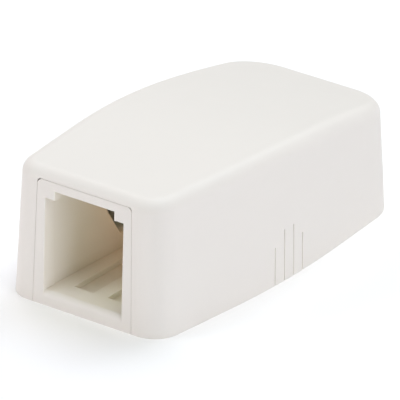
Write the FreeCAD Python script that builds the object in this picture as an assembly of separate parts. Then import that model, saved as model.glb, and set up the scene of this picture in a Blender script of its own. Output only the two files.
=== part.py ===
"""Single-port surface mount jack box: a clip-on cover over a base whose upright frame holds the jack.

Millimetres. The origin is on the mounting surface at the middle of the box's length, +Z is up and
away from that surface, the port opens towards -Y and the cable enters at the +Y end.
"""
import FreeCAD, Part
import math
import os

from FreeCAD import Vector

# Outside form, which the cover and the front of the base share
LENGTH = 62.0            # front face to rear face along the mounting surface
WIDTH = 34.0             # across the widest place, where the sides bend
HEIGHT = 21.85           # to the flat front part of the top
WIDEST_Y = -0.3          # where the sides run parallel, a little in front of the middle
SIDE_BEND_R = 139.0      # the slow bend of each side in plan
FRONT_TAPER = 6.1        # degrees each side closes in towards the front
REAR_TAPER = 4.5         # degrees each side closes in towards the rear
SIDE_DRAFT = 2.7         # degrees off upright, as on every wall here, to leave the mould
FRONT_DRAFT = 2.6
REAR_DRAFT = 1.3
FRONT_CORNER_R = 4.6     # upright corners
REAR_CORNER_R = 8.0
ROOF_BREAK_Y = -10.6     # the top is flat in front of this line and falls away behind it
ROOF_FALL_R = 187.0
TOP_ROUND_R = 2.2        # round along the whole top edge
INNER_CHAMFER = 0.5      # under it, inside the cover
WALL = 1.7               # wall and roof thickness of the cover

# Port: the opening in the base's upright frame, with a narrower step at its top for a jack's latch
PORT_WIDTH = 14.8
PORT_HEIGHT = 15.2
STEP_WIDTH = 11.3
STEP_HEIGHT = 1.45
PORT_DRAFT = 2.0         # degrees its sides and the walls behind them close in towards the rear
PORT_EDGE_R = 0.2        # round on the port's front edges
SILL_EDGE_R = 1.1        # larger round on its bottom edge, which leads a plug in

# Frame: an upright panel that fills a slot in the cover's front, tapered so that the cover lifts off
FRAME_HALF_BASE = 9.36   # half width of the joint line at the mounting surface
FRAME_HALF_TOP = 8.88    # and at its top
FRAME_TOP = 20.4
FRAME_CORNER_R = 0.85
SLOT_CORNER_R = 0.6      # sharper in the cover's slot, so the line opens up at the two top corners
FRAME_DEPTH = 2.8
JOINT_GAP = 0.065        # width of the line all round the frame

# Floor and walls of the base
FLOOR = 2.3              # floor thickness; its top is level with the bottom of the port
FIT_GAP = 0.22           # between the cover's walls and what stands inside them
GUIDE_WALL = 1.2         # the two walls that guide the jack in
GUIDE_STEP = 0.2         # how far each stands back behind the port's side
GUIDE_REACH_TOP = 10.9   # how far each runs back from the front face at its top
GUIDE_REACH_LOW = 18.6   # and where its slanting rear edge meets the low curb behind it
CURB_HEIGHT = 2.6
CURB_REACH = 23.5
CHANNEL_START = 4.0      # the two shallow channels in the floor start this far behind the front face
CHANNEL_LENGTH = 16.2
CHANNEL_DEPTH = 0.8
CHANNELS = ((-4.45, -0.8), (1.85, 4.45))

# Grip: four upright grooves low on each side wall, the middle two taller
GRIP_Y = -1.45
GRIP_PITCH = 2.33
GRIP_HEIGHTS = (6.2, 8.4, 8.4, 6.2)
GRIP_LEAN = 3.5          # degrees each leans back towards its top
GRIP_WIDTH = 0.32
GRIP_DEPTH = 0.16

# Catches: a tongue on each side of the base stands in a pocket of the cover
CATCH_LENGTH = 8.0
CATCH_THICKNESS = 1.2
CATCH_HEIGHT = 7.4
CATCH_LIP = 0.55         # how far the lip leans out
LIP_LOW = 5.1            # the lip's under side
LIP_HIGH = 6.4           # where its lead-in starts to slope back
POCKET_LENGTH = 9.0
POCKET_LOW = 4.6
POCKET_HIGH = 7.6
POCKET_DEPTH = 0.5

# Fences round the rear corners of the floor, and the cover's ribs over the jack
FENCE_X = (5.0, 13.0)
FENCE_Y = 21.5
FENCE_THICKNESS = 1.2
FENCE_HEIGHT = 6.5
RIB_THICKNESS = 1.0
RIB_BOTTOM = 18.3
RIB_GAP = 0.5            # between the frame's back and the ribs

# Cable entry at the rear, and the bridge that a cable tie goes under
CABLE_SLOT_WIDTH = 7.4
CABLE_SLOT_HEIGHT = 7.2
FLOOR_SLOT_LENGTH = 4.5
BRIDGE_Y = 11.0
BRIDGE_WIDTH = 5.0
BRIDGE_LENGTH = 6.2
BRIDGE_HEIGHT = 3.0
TIE_LENGTH = 3.4
TIE_HEIGHT = 1.7

# Screw holes on the centre line, and the foam tape between them
SCREW_Y = (-8.0, 19.0)
SCREW_R = 2.15
SCREW_HEAD_R = 4.1
SCREW_SINK = 1.5
PAD_WIDTH = 22.0
PAD_Y = (-2.0, 13.0)
PAD_CORNER_R = 1.5
PAD_GAP = 0.3            # between the foam and the rim of its recess
FOAM = 0.8
LINER = 0.12

FRONT_Y = -LENGTH / 2
REAR_Y = LENGTH / 2
FAR = 60.0               # for cutting tools: longer than the box is wide or high
PAST = 2.0               # how far a cutting tool starts outside what it cuts
SUNK = 0.5               # how far one feature of a moulding runs into the next


def slope(degrees):
    """Horizontal run for each millimetre of rise, at a draft in degrees."""
    return math.tan(math.radians(degrees))


def line(start, end):
    return Part.LineSegment(start, end).toShape()


def side_reach(degrees):
    """Distance from the origin to the side wall that faces out at an angle in plan."""
    angle = math.radians(degrees)
    return SIDE_BEND_R + (WIDTH / 2 - SIDE_BEND_R) * math.cos(angle) + WIDEST_Y * math.sin(angle)


# The walls in order round the box: the way each faces in plan, its reach at the foot, its draft
RIGHT_WALLS = [
    (-FRONT_TAPER, side_reach(-FRONT_TAPER), SIDE_DRAFT),
    (REAR_TAPER, side_reach(REAR_TAPER), SIDE_DRAFT),
]
LEFT_WALLS = [(180 - degrees, reach, draft) for degrees, reach, draft in reversed(RIGHT_WALLS)]
WALLS = [(-90, LENGTH / 2, FRONT_DRAFT)] + RIGHT_WALLS + [(90, LENGTH / 2, REAR_DRAFT)] + LEFT_WALLS


def corner(first, second, z, inset):
    """Where two neighbouring walls meet at height z, with both moved inwards by inset."""
    a, b = (math.radians(wall[0]) for wall in (first, second))
    reach_a, reach_b = (wall[1] - inset - z * slope(wall[2]) for wall in (first, second))
    turn = math.sin(b - a)
    x = (reach_a * math.sin(b) - reach_b * math.sin(a)) / turn
    y = (reach_b * math.cos(a) - reach_a * math.cos(b)) / turn
    return Vector(x, y, z)


def prism(points, direction):
    """Solid from a flat outline given by its corners, pushed along a vector."""
    return Part.Face(Part.makePolygon(points + points[:1])).extrude(direction)


def above_roof(inset):
    """Everything above the top surface moved inwards by inset: flat in front, a slow fall behind."""
    roof_z = HEIGHT - inset
    radius = ROOF_FALL_R - inset
    centre = Vector(0, ROOF_BREAK_Y, HEIGHT - ROOF_FALL_R)

    def fall(y):
        return Vector(0, y, centre.z + math.sqrt(radius ** 2 - (y - centre.y) ** 2))

    start = Vector(0, ROOF_BREAK_Y, roof_z)
    front_y, rear_y = FRONT_Y - PAST, REAR_Y + PAST
    edges = [
        line(Vector(0, front_y, roof_z), start),
        Part.Arc(start, fall(0), fall(rear_y)).toShape(),
        line(fall(rear_y), Vector(0, rear_y, FAR)),
        line(Vector(0, rear_y, FAR), Vector(0, front_y, FAR)),
        line(Vector(0, front_y, FAR), Vector(0, front_y, roof_z)),
    ]
    profile = Part.Face(Part.Wire(edges))
    profile.translate(Vector(-FAR / 2, 0, 0))
    return profile.extrude(Vector(FAR, 0, 0))


def polygon(points):
    return Part.Face(Part.makePolygon(points + points[:1]))


def drafted_walls(inset, bottom_z, top_z):
    """Solid of flat drafted walls, whose bends and corners are then rounded."""
    pairs = list(zip(WALLS, WALLS[1:] + WALLS[:1]))
    low = [corner(first, second, bottom_z, inset) for first, second in pairs]
    high = [corner(first, second, top_z, inset) for first, second in pairs]
    faces = [polygon(low[::-1]), polygon(high)]
    for index in range(len(WALLS)):
        faces.append(polygon([low[index - 1], low[index], high[index], high[index - 1]]))
    solid = Part.makeSolid(Part.makeShell(faces))
    for radius, y in ((SIDE_BEND_R, WIDEST_Y), (FRONT_CORNER_R, FRONT_Y), (REAR_CORNER_R, REAR_Y)):
        edges = [e for e in solid.Edges if e.BoundBox.ZLength > 1 and abs(e.CenterOfMass.y - y) < LENGTH / 5]
        solid = solid.makeFillet(radius - inset, edges)
    return solid


def body(inset, bottom_z):
    """The box as a solid: drafted walls from bottom_z up, cut by the top surface."""
    return drafted_walls(inset, bottom_z, HEIGHT + PAST).cut(above_roof(inset))


def is_roof(face):
    """True for the faces that lie nearly level in the upper half of the box."""
    u0, u1, v0, v1 = face.ParameterRange
    upright = face.normalAt((u0 + u1) / 2, (v0 + v1) / 2).z
    return upright > math.cos(math.radians(30)) and face.CenterOfMass.z > HEIGHT / 2


def roof_edges(solid):
    """Edges where the top meets the walls."""
    edges = [edge for face in solid.Faces if is_roof(face) for edge in face.Edges]
    wall_edges = [edge for face in solid.Faces if not is_roof(face) for edge in face.Edges]
    return [edge for edge in edges if any(edge.isSame(other) for other in wall_edges)]


def outside():
    """The whole outside form, with its top edge rounded."""
    form = body(0, 0)
    return form.makeFillet(TOP_ROUND_R, roof_edges(form))


def hollow():
    """The space inside the cover, run out below the rim."""
    space = body(WALL, -PAST)
    return space.makeChamfer(INNER_CHAMFER, roof_edges(space))


def block(x, y, z):
    """Box from pairs of limits along each axis."""
    return Part.makeBox(x[1] - x[0], y[1] - y[0], z[1] - z[0], Vector(x[0], y[0], z[0]))


def both_sides(shape):
    return [shape, shape.mirror(Vector(0, 0, 0), Vector(1, 0, 0))]


def frame_arch(offset, corner_r, back_y):
    """The frame's outline, moved outwards by offset, from in front of the box back to back_y."""
    lean = (FRAME_HALF_BASE - FRAME_HALF_TOP) / FRAME_TOP
    start_y, top = FRONT_Y - PAST, FRAME_TOP + offset

    def half(z):
        return FRAME_HALF_BASE + offset - lean * z

    outline = ((-1, -PAST), (1, -PAST), (1, top), (-1, top))
    corners = [Vector(side * half(z), start_y, z) for side, z in outline]
    arch = prism(corners, Vector(0, back_y - start_y, 0))
    upper = [e for e in arch.Edges if e.BoundBox.ZMin > top - corner_r and e.BoundBox.XLength < corner_r]
    return arch.makeFillet(corner_r, upper)


def inner_half_width(z):
    """Half width inside the cover at its widest place."""
    return WIDTH / 2 - WALL - z * slope(SIDE_DRAFT)


def grip_grooves():
    """Shallow grooves with round tops, as deep all the way down the drafted wall."""
    core = body(GRIP_DEPTH, -PAST)
    radius = GRIP_WIDTH / 2
    slots = []
    for index, height in enumerate(GRIP_HEIGHTS):
        foot_y = GRIP_Y + (index - (len(GRIP_HEIGHTS) - 1) / 2) * GRIP_PITCH
        low = Vector(0, foot_y - PAST * slope(GRIP_LEAN), -PAST)
        high = Vector(0, foot_y + (height - radius) * slope(GRIP_LEAN), height - radius)
        across = Vector(0, radius, 0)
        slot = prism([low - across, low + across, high + across, high - across], Vector(FAR, 0, 0))
        end = Part.makeCylinder(radius, FAR, high, Vector(1, 0, 0))
        slots += both_sides(slot.fuse(end))
    return Part.makeCompound(slots).cut(core)


def catch_pockets():
    """A shallow pocket inside each side wall, over the catch."""
    x = (0, inner_half_width(POCKET_LOW) + POCKET_DEPTH)
    y = (GRIP_Y - POCKET_LENGTH / 2, GRIP_Y + POCKET_LENGTH / 2)
    return both_sides(block(x, y, (POCKET_LOW, POCKET_HIGH)))


def cable_slot(start_y):
    """Round-topped slot out through the rear, for the cable."""
    radius, end_y = CABLE_SLOT_WIDTH / 2, REAR_Y + PAST
    centre_z = CABLE_SLOT_HEIGHT - radius
    slot = block((-radius, radius), (start_y, end_y), (-PAST, centre_z))
    top = Part.makeCylinder(radius, end_y - start_y, Vector(0, start_y, centre_z), Vector(0, 1, 0))
    return slot.fuse(top)


def make_cover():
    """One moulding: the bent, tapered shell with a slot for the frame and one for the cable."""
    frame_back = FRONT_Y + FRAME_DEPTH
    cover = outside().cut(hollow())
    cover = cover.cut(frame_arch(JOINT_GAP / 2, SLOT_CORNER_R, frame_back + JOINT_GAP))
    cover = cover.cut(cable_slot(REAR_Y - 2 * WALL))
    cover = cover.cut(catch_pockets())
    cover = cover.cut(grip_grooves())
    rib_x = guide_face() + (GUIDE_WALL - RIB_THICKNESS) / 2
    rib_y = frame_back + JOINT_GAP + RIB_GAP
    rib = block((rib_x, rib_x + RIB_THICKNESS), (rib_y, ROOF_BREAK_Y), (RIB_BOTTOM, HEIGHT - WALL / 2))
    return cover.fuse(both_sides(rib)).removeSplitter()


def port_reach(width, y):
    """Half the width of the port, or of its step, at a depth: the sides close in towards the rear."""
    return width / 2 - (y - FRONT_Y) * slope(PORT_DRAFT)


def guide_face():
    """Distance from the middle to the inner face of each guide wall, at the back of the frame."""
    return port_reach(PORT_WIDTH, FRONT_Y + FRAME_DEPTH) + GUIDE_STEP


def port_opening():
    """The port with its stepped top, from in front of the box back through the frame."""
    start_y, end_y = FRONT_Y - PAST, FRONT_Y + FRAME_DEPTH + PAST

    def tier(width, height):
        plan = ((-1, start_y), (1, start_y), (1, end_y), (-1, end_y))
        corners = [Vector(side * port_reach(width, y), y, FLOOR) for side, y in plan]
        return prism(corners, Vector(0, 0, height))

    return tier(PORT_WIDTH, PORT_HEIGHT).fuse(tier(STEP_WIDTH, PORT_HEIGHT + STEP_HEIGHT))


def make_frame():
    """The upright panel, flush with the cover's front, with the port's front edges eased."""
    arch = frame_arch(-JOINT_GAP / 2, FRAME_CORNER_R, FRONT_Y + FRAME_DEPTH)
    panel = outside().common(arch).cut(port_opening())

    def port_front_edges(low, high):
        """Edges of the port on the front face, between two heights."""
        found = []
        for edge in panel.Edges:
            box = edge.BoundBox
            on_front = box.YMax < FRONT_Y + box.ZMax * slope(FRONT_DRAFT) + tolerance
            within = max(-box.XMin, box.XMax) < PORT_WIDTH / 2 + tolerance
            if on_front and within and low - tolerance < box.ZMin and box.ZMax < high + tolerance:
                found.append(edge)
        return found

    tolerance = 0.01
    panel = panel.makeFillet(SILL_EDGE_R, port_front_edges(FLOOR, FLOOR))
    return panel.makeFillet(PORT_EDGE_R, port_front_edges(FLOOR, FLOOR + PORT_HEIGHT + STEP_HEIGHT))


def guide_wall():
    """Wall behind one jamb of the port, with a slanting rear edge and a low curb behind that."""
    frame_back, end_y, foot = FRONT_Y + FRAME_DEPTH, FRONT_Y + CURB_REACH, FLOOR - SUNK
    start_y, face = frame_back - SUNK, guide_face()
    top, curb = FLOOR + PORT_HEIGHT, FLOOR + CURB_HEIGHT
    profile = ((start_y, foot), (start_y, top), (FRONT_Y + GUIDE_REACH_TOP, top),
               (FRONT_Y + GUIDE_REACH_LOW, curb), (end_y, curb), (end_y, foot))
    wall = prism([Vector(face, y, z) for y, z in profile], Vector(GUIDE_WALL, 0, 0))
    wall.rotate(Vector(face, frame_back, 0), Vector(0, 0, 1), PORT_DRAFT)
    return wall


def catch():
    """Tongue that stands beside the cover's wall, with a lip that leans out into the pocket."""
    tip = inner_half_width(POCKET_LOW) - FIT_GAP
    face, foot = tip - CATCH_LIP, FLOOR - SUNK
    profile = ((face - CATCH_THICKNESS, foot), (face, foot), (face, LIP_LOW), (tip, LIP_LOW),
               (tip, LIP_HIGH), (face, CATCH_HEIGHT), (face - CATCH_THICKNESS, CATCH_HEIGHT))
    return prism([Vector(x, GRIP_Y - CATCH_LENGTH / 2, z) for x, z in profile], Vector(0, CATCH_LENGTH, 0))


def corner_fence():
    """Curved fence on a rear corner of the floor that keeps the cover's rear end in line."""
    foot = FLOOR - SUNK
    outer = drafted_walls(WALL + FIT_GAP, foot, FENCE_HEIGHT)
    inner = drafted_walls(WALL + FIT_GAP + FENCE_THICKNESS, foot, FENCE_HEIGHT)
    return outer.cut(inner).common(block(FENCE_X, (FENCE_Y, REAR_Y), (foot, FENCE_HEIGHT)))


def tie_bridge():
    """Low bridge over the floor: a cable tie goes under it from side to side."""
    half_width, half_length, half_tie = BRIDGE_WIDTH / 2, BRIDGE_LENGTH / 2, TIE_LENGTH / 2
    deck_z = (FLOOR - SUNK, FLOOR + BRIDGE_HEIGHT)
    deck = block((-half_width, half_width), (BRIDGE_Y - half_length, BRIDGE_Y + half_length), deck_z)
    way_y = (BRIDGE_Y - half_tie, BRIDGE_Y + half_tie)
    return deck.cut(block((-BRIDGE_WIDTH, BRIDGE_WIDTH), way_y, (FLOOR, FLOOR + TIE_HEIGHT)))


def screw_hole(y):
    """Clearance hole with a sunk seat for a flat-headed screw."""
    hole = Part.makeCylinder(SCREW_R, FLOOR + 2 * PAST, Vector(0, y, -PAST))
    seat = Part.makeCone(SCREW_R, SCREW_HEAD_R, SCREW_SINK, Vector(0, y, FLOOR - SCREW_SINK))
    return hole.fuse(seat)


def pad(half_width, y, z):
    """Flat pad with rounded corners, between two heights."""
    sheet = block((-half_width, half_width), y, z)
    upright = [edge for edge in sheet.Edges if edge.BoundBox.ZLength > (z[1] - z[0]) / 2]
    return sheet.makeFillet(PAD_CORNER_R, upright)


def make_base():
    """One moulding: floor, upright frame, guide walls, catches, fences and the tie bridge."""
    floor = drafted_walls(WALL + FIT_GAP, 0, FLOOR)
    base = floor.fuse([make_frame(), tie_bridge()] + both_sides(guide_wall()) + both_sides(catch())
                      + both_sides(corner_fence()))
    channel_y = (FRONT_Y + CHANNEL_START, FRONT_Y + CHANNEL_START + CHANNEL_LENGTH)
    cuts = [block(x, channel_y, (FLOOR - CHANNEL_DEPTH, FLOOR + PAST)) for x in CHANNELS]
    cuts += [screw_hole(y) for y in SCREW_Y]
    cuts.append(cable_slot(REAR_Y - WALL - FLOOR_SLOT_LENGTH))
    recess_y = (PAD_Y[0] - PAD_GAP, PAD_Y[1] + PAD_GAP)
    cuts.append(pad(PAD_WIDTH / 2 + PAD_GAP, recess_y, (-PAST, LINER + FOAM)))
    return base.cut(cuts).removeSplitter()


def make_foam_pad():
    """Double-sided foam tape, stuck in the recess under the floor."""
    return pad(PAD_WIDTH / 2, PAD_Y, (LINER, LINER + FOAM))


def make_release_liner():
    """Paper that covers the tape until the box is put up."""
    return pad(PAD_WIDTH / 2, PAD_Y, (0, LINER))


os.makedirs("parts", exist_ok=True)
PARTS = {
    "cover": make_cover(),
    "base": make_base(),
    "foam_pad": make_foam_pad(),
    "release_liner": make_release_liner(),
}
for name, shape in PARTS.items():
    shape.exportStep(f"parts/{name}.step")
    print(name, "solids", len(shape.Solids), "valid", shape.isValid(), "volume", round(shape.Volume, 1))
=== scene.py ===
import math

import bpy
from mathutils import Matrix, Vector


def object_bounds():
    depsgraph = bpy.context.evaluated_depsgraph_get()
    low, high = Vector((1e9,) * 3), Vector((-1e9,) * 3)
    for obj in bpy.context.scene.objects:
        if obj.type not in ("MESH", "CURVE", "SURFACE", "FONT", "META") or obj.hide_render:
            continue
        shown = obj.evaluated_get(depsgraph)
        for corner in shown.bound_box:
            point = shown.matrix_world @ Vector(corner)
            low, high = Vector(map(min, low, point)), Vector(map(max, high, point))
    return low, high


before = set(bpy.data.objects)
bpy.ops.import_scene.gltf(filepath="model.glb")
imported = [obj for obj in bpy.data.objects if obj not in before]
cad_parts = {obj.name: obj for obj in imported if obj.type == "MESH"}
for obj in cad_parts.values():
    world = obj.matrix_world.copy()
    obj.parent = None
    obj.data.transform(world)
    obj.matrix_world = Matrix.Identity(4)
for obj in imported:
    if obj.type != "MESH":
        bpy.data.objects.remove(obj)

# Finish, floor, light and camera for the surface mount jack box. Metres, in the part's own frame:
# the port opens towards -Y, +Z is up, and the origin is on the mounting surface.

MM = 0.001
CAD_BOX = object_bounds()
BOX_LOW, BOX_HIGH = (Vector(corner) for corner in CAD_BOX)
MIDDLE = (BOX_LOW + BOX_HIGH) / 2

# Camera: azimuth and elevation in degrees, how far it stands from its aim, and its focal length in mm.
# The aim is a height over the middle of the mounting surface, then moved right and up in the picture.
CAMERA_AZIMUTH = 36.92
CAMERA_ELEVATION = 25.72
CAMERA_DISTANCE = 1010.8 * MM
CAMERA_LENS = 595.0
AIM_HEIGHT = 12.08 * MM
AIM_RIGHT = -0.81 * MM
AIM_UP = -3.95 * MM

# Floor: matt, pale, and a little bright of its own
FLOOR_SIZE = 6
FLOOR_COLOUR = (0.93, 0.93, 0.93)
FLOOR_ROUGHNESS = 0.9
FLOOR_SPECULAR = 0.1
FLOOR_GLOW = 0.08

# Studio: soft square lights that all stand as far away, and an even glow from all sides
WHITE = (1, 1, 1)
LIGHT_DISTANCE = 800 * MM
LIGHT_SIZE = 450 * MM
WORLD_STRENGTH = 0.09
STUDIO = (
    # name, azimuth and elevation in degrees, power in watts, colour
    ("front_left_low", -45, 12, 2.31, (1.0, 0.82, 0.84)),
    ("front_left_high", -45, 40, 0.87, (0.62, 0.92, 1.0)),
    ("right_low", 75, 12, 2.38, (0.9, 0.88, 1.0)),
    ("front_right_top", 60, 68, 2.06, (1.0, 1.0, 0.91)),
    ("back_left", -120, 40, 1.31, (1.0, 0.88, 0.91)),
    ("back_high", 180, 40, 1.28, (1.0, 0.98, 0.93)),
    ("back_top", 180, 68, 2.46, (0.8, 0.87, 1.0)),
)

# Warm light that the thin shell lets through into the port
PORT_GLOW = (
    # name, place in mm, way it shines, size in mm, power in watts, colour
    ("in_the_step", (5.4, -29.3, 18), (-1, 0, 0), (2.4, 1), 0.00007, (0.86, 1.0, 0.86)),
    ("beside_the_port", (6.6, -25.5, 9.5), (-1, 0, 0), (5, 10), 0.000095, (0.78, 1.0, 0.35)),
    ("beside_the_guide", (6.6, -17, 9.5), (-1, 0, 0), (8, 10), 0.000078, (1.0, 0.87, 0.69)),
    ("behind_the_port", (0, -8, 11), (0, -1, 0), (12, 12), 0.00035, (1.0, 0.48, 0.18)),
    ("behind_the_guides", (0, -1, 11), (0, -1, 0), (24, 13), 0.000058, (0.52, 1.0, 0.38)),
)

# Plastic of both mouldings: faint clouds, spark-eroded grain outside, smooth with flow marks inside
BODY_COLOUR = (0.84, 0.812, 0.758)
CLOUD_SIZE = 9 * MM
CLOUD_SHADE = 0.985         # how much of the body colour the darker clouds keep
MOTTLE_SIZE = 2 * MM
GRAINED_ROUGHNESS = (0.46, 0.54)
SMOOTH_ROUGHNESS = (0.36, 0.42)
GRAIN_SIZE = 0.14 * MM
FLOW_SIZE = 1.2 * MM
PLASTIC_RELIEF = 0.01 * MM
PLASTIC_BUMP = 0.12
PLASTIC_SPECULAR = 0.4
INSIDE_TURN = 0.5 * MM      # half the depth over which the cover's finish turns
FRONT_TURN = (0.2 * MM, 0.8 * MM)    # depth behind the base's front over which its finish turns
FRONT_DRAFT = 0.0454        # how far the front leans back for each unit of height

# Painted shade in the base's corners, where it is less open, and the same painted shade, deeper, on
# the floor of its channels
CORNER_SHADE_COLOUR = (0.735, 0.697, 0.634)
CORNER_REACH = 2 * MM
CORNER_RANGE = (0.4, 1)     # how open a corner is where the painted shade is full, and where it ends
CORNER_RAYS = 8
PORT_FLOOR = 2.3 * MM       # height of the floor in the port
CHANNEL_FLOOR = 1.5 * MM    # and in its channels
CHANNEL_TONE = 0.45         # share of the body colour that is left on the channels' floor, the rest painted shade in the corner colour

# Closed-cell foam tape, whose colour turns from the middle of a cell to its edge
FOAM_CELL = 0.3 * MM
FOAM_MIDDLE_COLOUR = (0.80, 0.80, 0.78)
FOAM_EDGE_COLOUR = (0.66, 0.66, 0.64)
FOAM_TURN = (0.1, 0.6)      # in cells from the middle of one
FOAM_MOTTLE = 1 * MM
FOAM_ROUGHNESS = (0.78, 0.9)
FOAM_RELIEF = 0.08 * MM
FOAM_BUMP = 0.6

# Waxed release paper
PAPER_COLOURS = ((0.70, 0.77, 0.83), (0.76, 0.82, 0.87))
PAPER_FIBRE = 0.5 * MM
PAPER_WAX_SIZE = 3 * MM
PAPER_ROUGHNESS = (0.3, 0.42)
PAPER_RELIEF = 0.01 * MM
PAPER_BUMP = 0.4

NOISE_RANGE = (0.3, 0.7)    # holds nearly all values of a noise


class Nodes:
    """Shader nodes of one material, round a Principled shader."""

    def __init__(self, name):
        self.material = bpy.data.materials.new(name)
        self.material.use_nodes = True
        self.tree = self.material.node_tree
        self.tree.nodes.clear()
        self.shader = self.add("ShaderNodeBsdfPrincipled")
        output = self.add("ShaderNodeOutputMaterial")
        self.link(self.shader.outputs["BSDF"], output.inputs["Surface"])
        self.coordinates = self.add("ShaderNodeTexCoord")
        self.place = self.coordinates.outputs["Object"]

    def add(self, kind, **values):
        node = self.tree.nodes.new(kind)
        for key, value in values.items():
            setattr(node, key, value)
        return node

    def link(self, outlet, inlet):
        self.tree.links.new(outlet, inlet)

    def noise(self, size, detail=2.0):
        """Noise from 0 to 1 whose grains are about size across; more detail adds finer ones."""
        node = self.add("ShaderNodeTexNoise")
        node.inputs["Scale"].default_value = 1 / size
        node.inputs["Detail"].default_value = detail
        self.link(self.place, node.inputs["Vector"])
        return node.outputs["Fac"]

    def spread(self, outlet, low, high, span=NOISE_RANGE):
        """Map a span of a value onto low to high, and hold it beyond the span's ends."""
        node = self.add("ShaderNodeMapRange")
        node.inputs["From Min"].default_value = span[0]
        node.inputs["From Max"].default_value = span[1]
        node.inputs["To Min"].default_value = low
        node.inputs["To Max"].default_value = high
        self.link(outlet, node.inputs["Value"])
        return node.outputs["Result"]

    def blend(self, factor, first, second):
        """Mix of two colours, or of two numbers, by a factor."""
        colours = isinstance(first, tuple)
        node = self.add("ShaderNodeMix", data_type="RGBA" if colours else "FLOAT")
        inlets = [socket for socket in node.inputs if socket.enabled]
        self.link(factor, inlets[0])
        for inlet, value in zip(inlets[1:], (first, second)):
            if isinstance(value, bpy.types.NodeSocket):
                self.link(value, inlet)
            else:
                inlet.default_value = (*value, 1) if colours else value
        return next(socket for socket in node.outputs if socket.enabled)

    def product(self, first, second):
        """Two numbers multiplied."""
        node = self.add("ShaderNodeMath", operation="MULTIPLY")
        self.link(first, node.inputs[0])
        self.link(second, node.inputs[1])
        return node.outputs["Value"]

    def openness(self, reach):
        """1 in the open, falling to 0 in narrow corners of the piece itself."""
        node = self.add("ShaderNodeAmbientOcclusion", only_local=True, samples=CORNER_RAYS)
        node.inputs["Distance"].default_value = reach
        return self.spread(node.outputs["AO"], 0, 1, CORNER_RANGE)

    def tint(self, colour):
        self.link(colour, self.shader.inputs["Base Color"])

    def roughen(self, roughness):
        self.link(roughness, self.shader.inputs["Roughness"])

    def bump(self, height, distance, strength):
        """Relief of a distance between the lowest and highest value of height."""
        node = self.add("ShaderNodeBump")
        node.inputs["Strength"].default_value = strength
        node.inputs["Distance"].default_value = distance
        self.link(height, node.inputs["Height"])
        self.link(node.outputs["Normal"], self.shader.inputs["Normal"])


def scaled(colour, factor):
    """A colour made darker or lighter by a factor."""
    return tuple(channel * factor for channel in colour)


def cover_inside(nodes):
    """1 on the faces of the cover that look towards its middle, 0 on the outside."""
    outward = nodes.add("ShaderNodeVectorMath", operation="SUBTRACT")
    nodes.link(nodes.place, outward.inputs[0])
    outward.inputs[1].default_value = MIDDLE
    facing = nodes.add("ShaderNodeVectorMath", operation="DOT_PRODUCT")
    nodes.link(outward.outputs["Vector"], facing.inputs[0])
    nodes.link(nodes.coordinates.outputs["Normal"], facing.inputs[1])
    return nodes.spread(facing.outputs["Value"], 1, 0, (-INSIDE_TURN, INSIDE_TURN))


def base_inside(nodes):
    """1 behind the front face of the base, 0 on it."""
    lean = nodes.add("ShaderNodeVectorMath", operation="DOT_PRODUCT")
    nodes.link(nodes.place, lean.inputs[0])
    lean.inputs[1].default_value = (0, 1, -FRONT_DRAFT)
    return nodes.spread(lean.outputs["Value"], 0, 1, [BOX_LOW.y + depth for depth in FRONT_TURN])


def base_painted_shade_mask(nodes, inside):
    """1 on the open faces of the base, lower where shade is painted: in its corners and on the thin
    floor of its channels.
    """
    axes = nodes.add("ShaderNodeSeparateXYZ")
    nodes.link(nodes.place, axes.inputs["Vector"])
    # painted shade on the channels' floor: the factor falls to CHANNEL_TONE from the port's floor down
    # to theirs
    floor = nodes.spread(axes.outputs["Z"], CHANNEL_TONE, 1, (CHANNEL_FLOOR, PORT_FLOOR))
    return nodes.blend(inside, 1.0, nodes.product(nodes.openness(CORNER_REACH), floor))


def moulded_plastic(name, inside_of, painted_shade_of=None):
    """Off-white moulding, with one finish outside and one inside, and painted shade in the corner
    colour where the optional mask falls below 1.
    """
    nodes = Nodes(name)
    inside = inside_of(nodes)
    clouds = nodes.noise(CLOUD_SIZE, detail=3)
    colour = nodes.blend(clouds, scaled(BODY_COLOUR, CLOUD_SHADE), BODY_COLOUR)
    # painted shade: the corner colour mixed in where the mask falls below 1
    if painted_shade_of:
        colour = nodes.blend(painted_shade_of(nodes, inside), CORNER_SHADE_COLOUR, colour)
    nodes.tint(colour)
    mottle = nodes.noise(MOTTLE_SIZE)
    grained = nodes.spread(mottle, *GRAINED_ROUGHNESS)
    smooth = nodes.spread(mottle, *SMOOTH_ROUGHNESS)
    nodes.roughen(nodes.blend(inside, grained, smooth))
    grain = nodes.noise(GRAIN_SIZE, detail=3)
    flow = nodes.noise(FLOW_SIZE)
    nodes.bump(nodes.blend(inside, grain, flow), PLASTIC_RELIEF, PLASTIC_BUMP)
    nodes.shader.inputs["Specular IOR Level"].default_value = PLASTIC_SPECULAR
    return nodes.material


def closed_cell_foam():
    """White foam tape, with its small closed cells."""
    nodes = Nodes("closed_cell_foam")
    cells = nodes.add("ShaderNodeTexVoronoi")
    cells.inputs["Scale"].default_value = 1 / FOAM_CELL
    nodes.link(nodes.place, cells.inputs["Vector"])
    from_middle = cells.outputs["Distance"]
    edge = nodes.spread(from_middle, 0, 1, FOAM_TURN)
    nodes.tint(nodes.blend(edge, FOAM_MIDDLE_COLOUR, FOAM_EDGE_COLOUR))
    nodes.roughen(nodes.spread(nodes.noise(FOAM_MOTTLE), *FOAM_ROUGHNESS))
    nodes.bump(from_middle, FOAM_RELIEF, FOAM_BUMP)
    return nodes.material


def waxed_paper():
    """Pale blue release paper, with faint fibres and a soft sheen."""
    nodes = Nodes("waxed_paper")
    fibres = nodes.noise(PAPER_FIBRE, detail=5)
    nodes.tint(nodes.blend(nodes.spread(fibres, 0, 1), *PAPER_COLOURS))
    nodes.roughen(nodes.spread(nodes.noise(PAPER_WAX_SIZE), *PAPER_ROUGHNESS))
    nodes.bump(fibres, PAPER_RELIEF, PAPER_BUMP)
    return nodes.material


def dress(node, material):
    """Give every slot of a CAD node one material."""
    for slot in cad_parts[node].material_slots:
        slot.material = material


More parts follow.
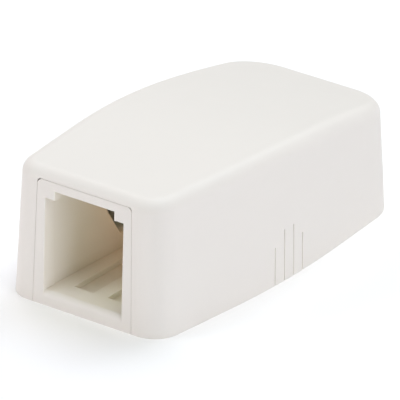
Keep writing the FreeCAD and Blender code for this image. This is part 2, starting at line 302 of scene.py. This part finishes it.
def add_floor():
    material = bpy.data.materials.new("floor")
    material.use_nodes = True
    shader = material.node_tree.nodes["Principled BSDF"]
    shader.inputs["Base Color"].default_value = (*FLOOR_COLOUR, 1)
    shader.inputs["Roughness"].default_value = FLOOR_ROUGHNESS
    shader.inputs["Specular IOR Level"].default_value = FLOOR_SPECULAR
    shader.inputs["Emission Color"].default_value = (*WHITE, 1)
    shader.inputs["Emission Strength"].default_value = FLOOR_GLOW
    bpy.ops.mesh.primitive_plane_add(size=FLOOR_SIZE)
    floor = bpy.context.object
    floor.name = "floor"
    floor.data.materials.append(material)


def direction(azimuth, elevation):
    """Unit vector from the box towards a viewer; azimuth 0 stands in front of the port."""
    turn = math.radians(azimuth)
    rise = math.radians(elevation)
    level = math.cos(rise)
    return Vector((math.sin(turn) * level, -math.cos(turn) * level, math.sin(rise)))


def add_area_light(name, place, facing, size, power, colour):
    """Soft rectangular light at a place, which shines along a direction."""
    data = bpy.data.lights.new(name, "AREA")
    data.shape = "RECTANGLE"
    data.size, data.size_y = size
    data.energy = power
    data.color = colour
    light = bpy.data.objects.new(name, data)
    light.location = place
    light.rotation_euler = facing.to_track_quat("-Z", "Y").to_euler()
    light.visible_camera = False
    bpy.context.scene.collection.objects.link(light)


def add_studio():
    for name, azimuth, elevation, power, colour in STUDIO:
        towards = direction(azimuth, elevation)
        place = MIDDLE + towards * LIGHT_DISTANCE
        add_area_light(name, place, -towards, (LIGHT_SIZE, LIGHT_SIZE), power, colour)
    for name, place, facing, size, power, colour in PORT_GLOW:
        add_area_light(name, Vector(place) * MM, Vector(facing), Vector(size) * MM, power, colour)
    world = bpy.data.worlds.new("studio")
    world.use_nodes = True
    background = world.node_tree.nodes["Background"]
    background.inputs["Color"].default_value = (*WHITE, 1)
    background.inputs["Strength"].default_value = WORLD_STRENGTH
    bpy.context.scene.world = world
    bpy.context.scene.view_settings.view_transform = "Standard"


def add_camera():
    towards = direction(CAMERA_AZIMUTH, CAMERA_ELEVATION)
    right = direction(CAMERA_AZIMUTH + 90, 0)
    up = towards.cross(right)
    aim = Vector((0, 0, AIM_HEIGHT)) + right * AIM_RIGHT + up * AIM_UP
    place = aim + towards * CAMERA_DISTANCE
    turn = Matrix((right, up, towards)).transposed()
    data = bpy.data.cameras.new("camera")
    data.lens = CAMERA_LENS
    camera = bpy.data.objects.new("camera", data)
    camera.matrix_world = Matrix.Translation(place) @ turn.to_4x4()
    bpy.context.scene.collection.objects.link(camera)
    bpy.context.scene.camera = camera


dress("cover", moulded_plastic("cover_plastic", cover_inside))
dress("base", moulded_plastic("base_plastic", base_inside, base_painted_shade_mask))
dress("foam_pad", closed_cell_foam())
dress("release_liner", waxed_paper())
add_floor()
add_studio()
add_camera()
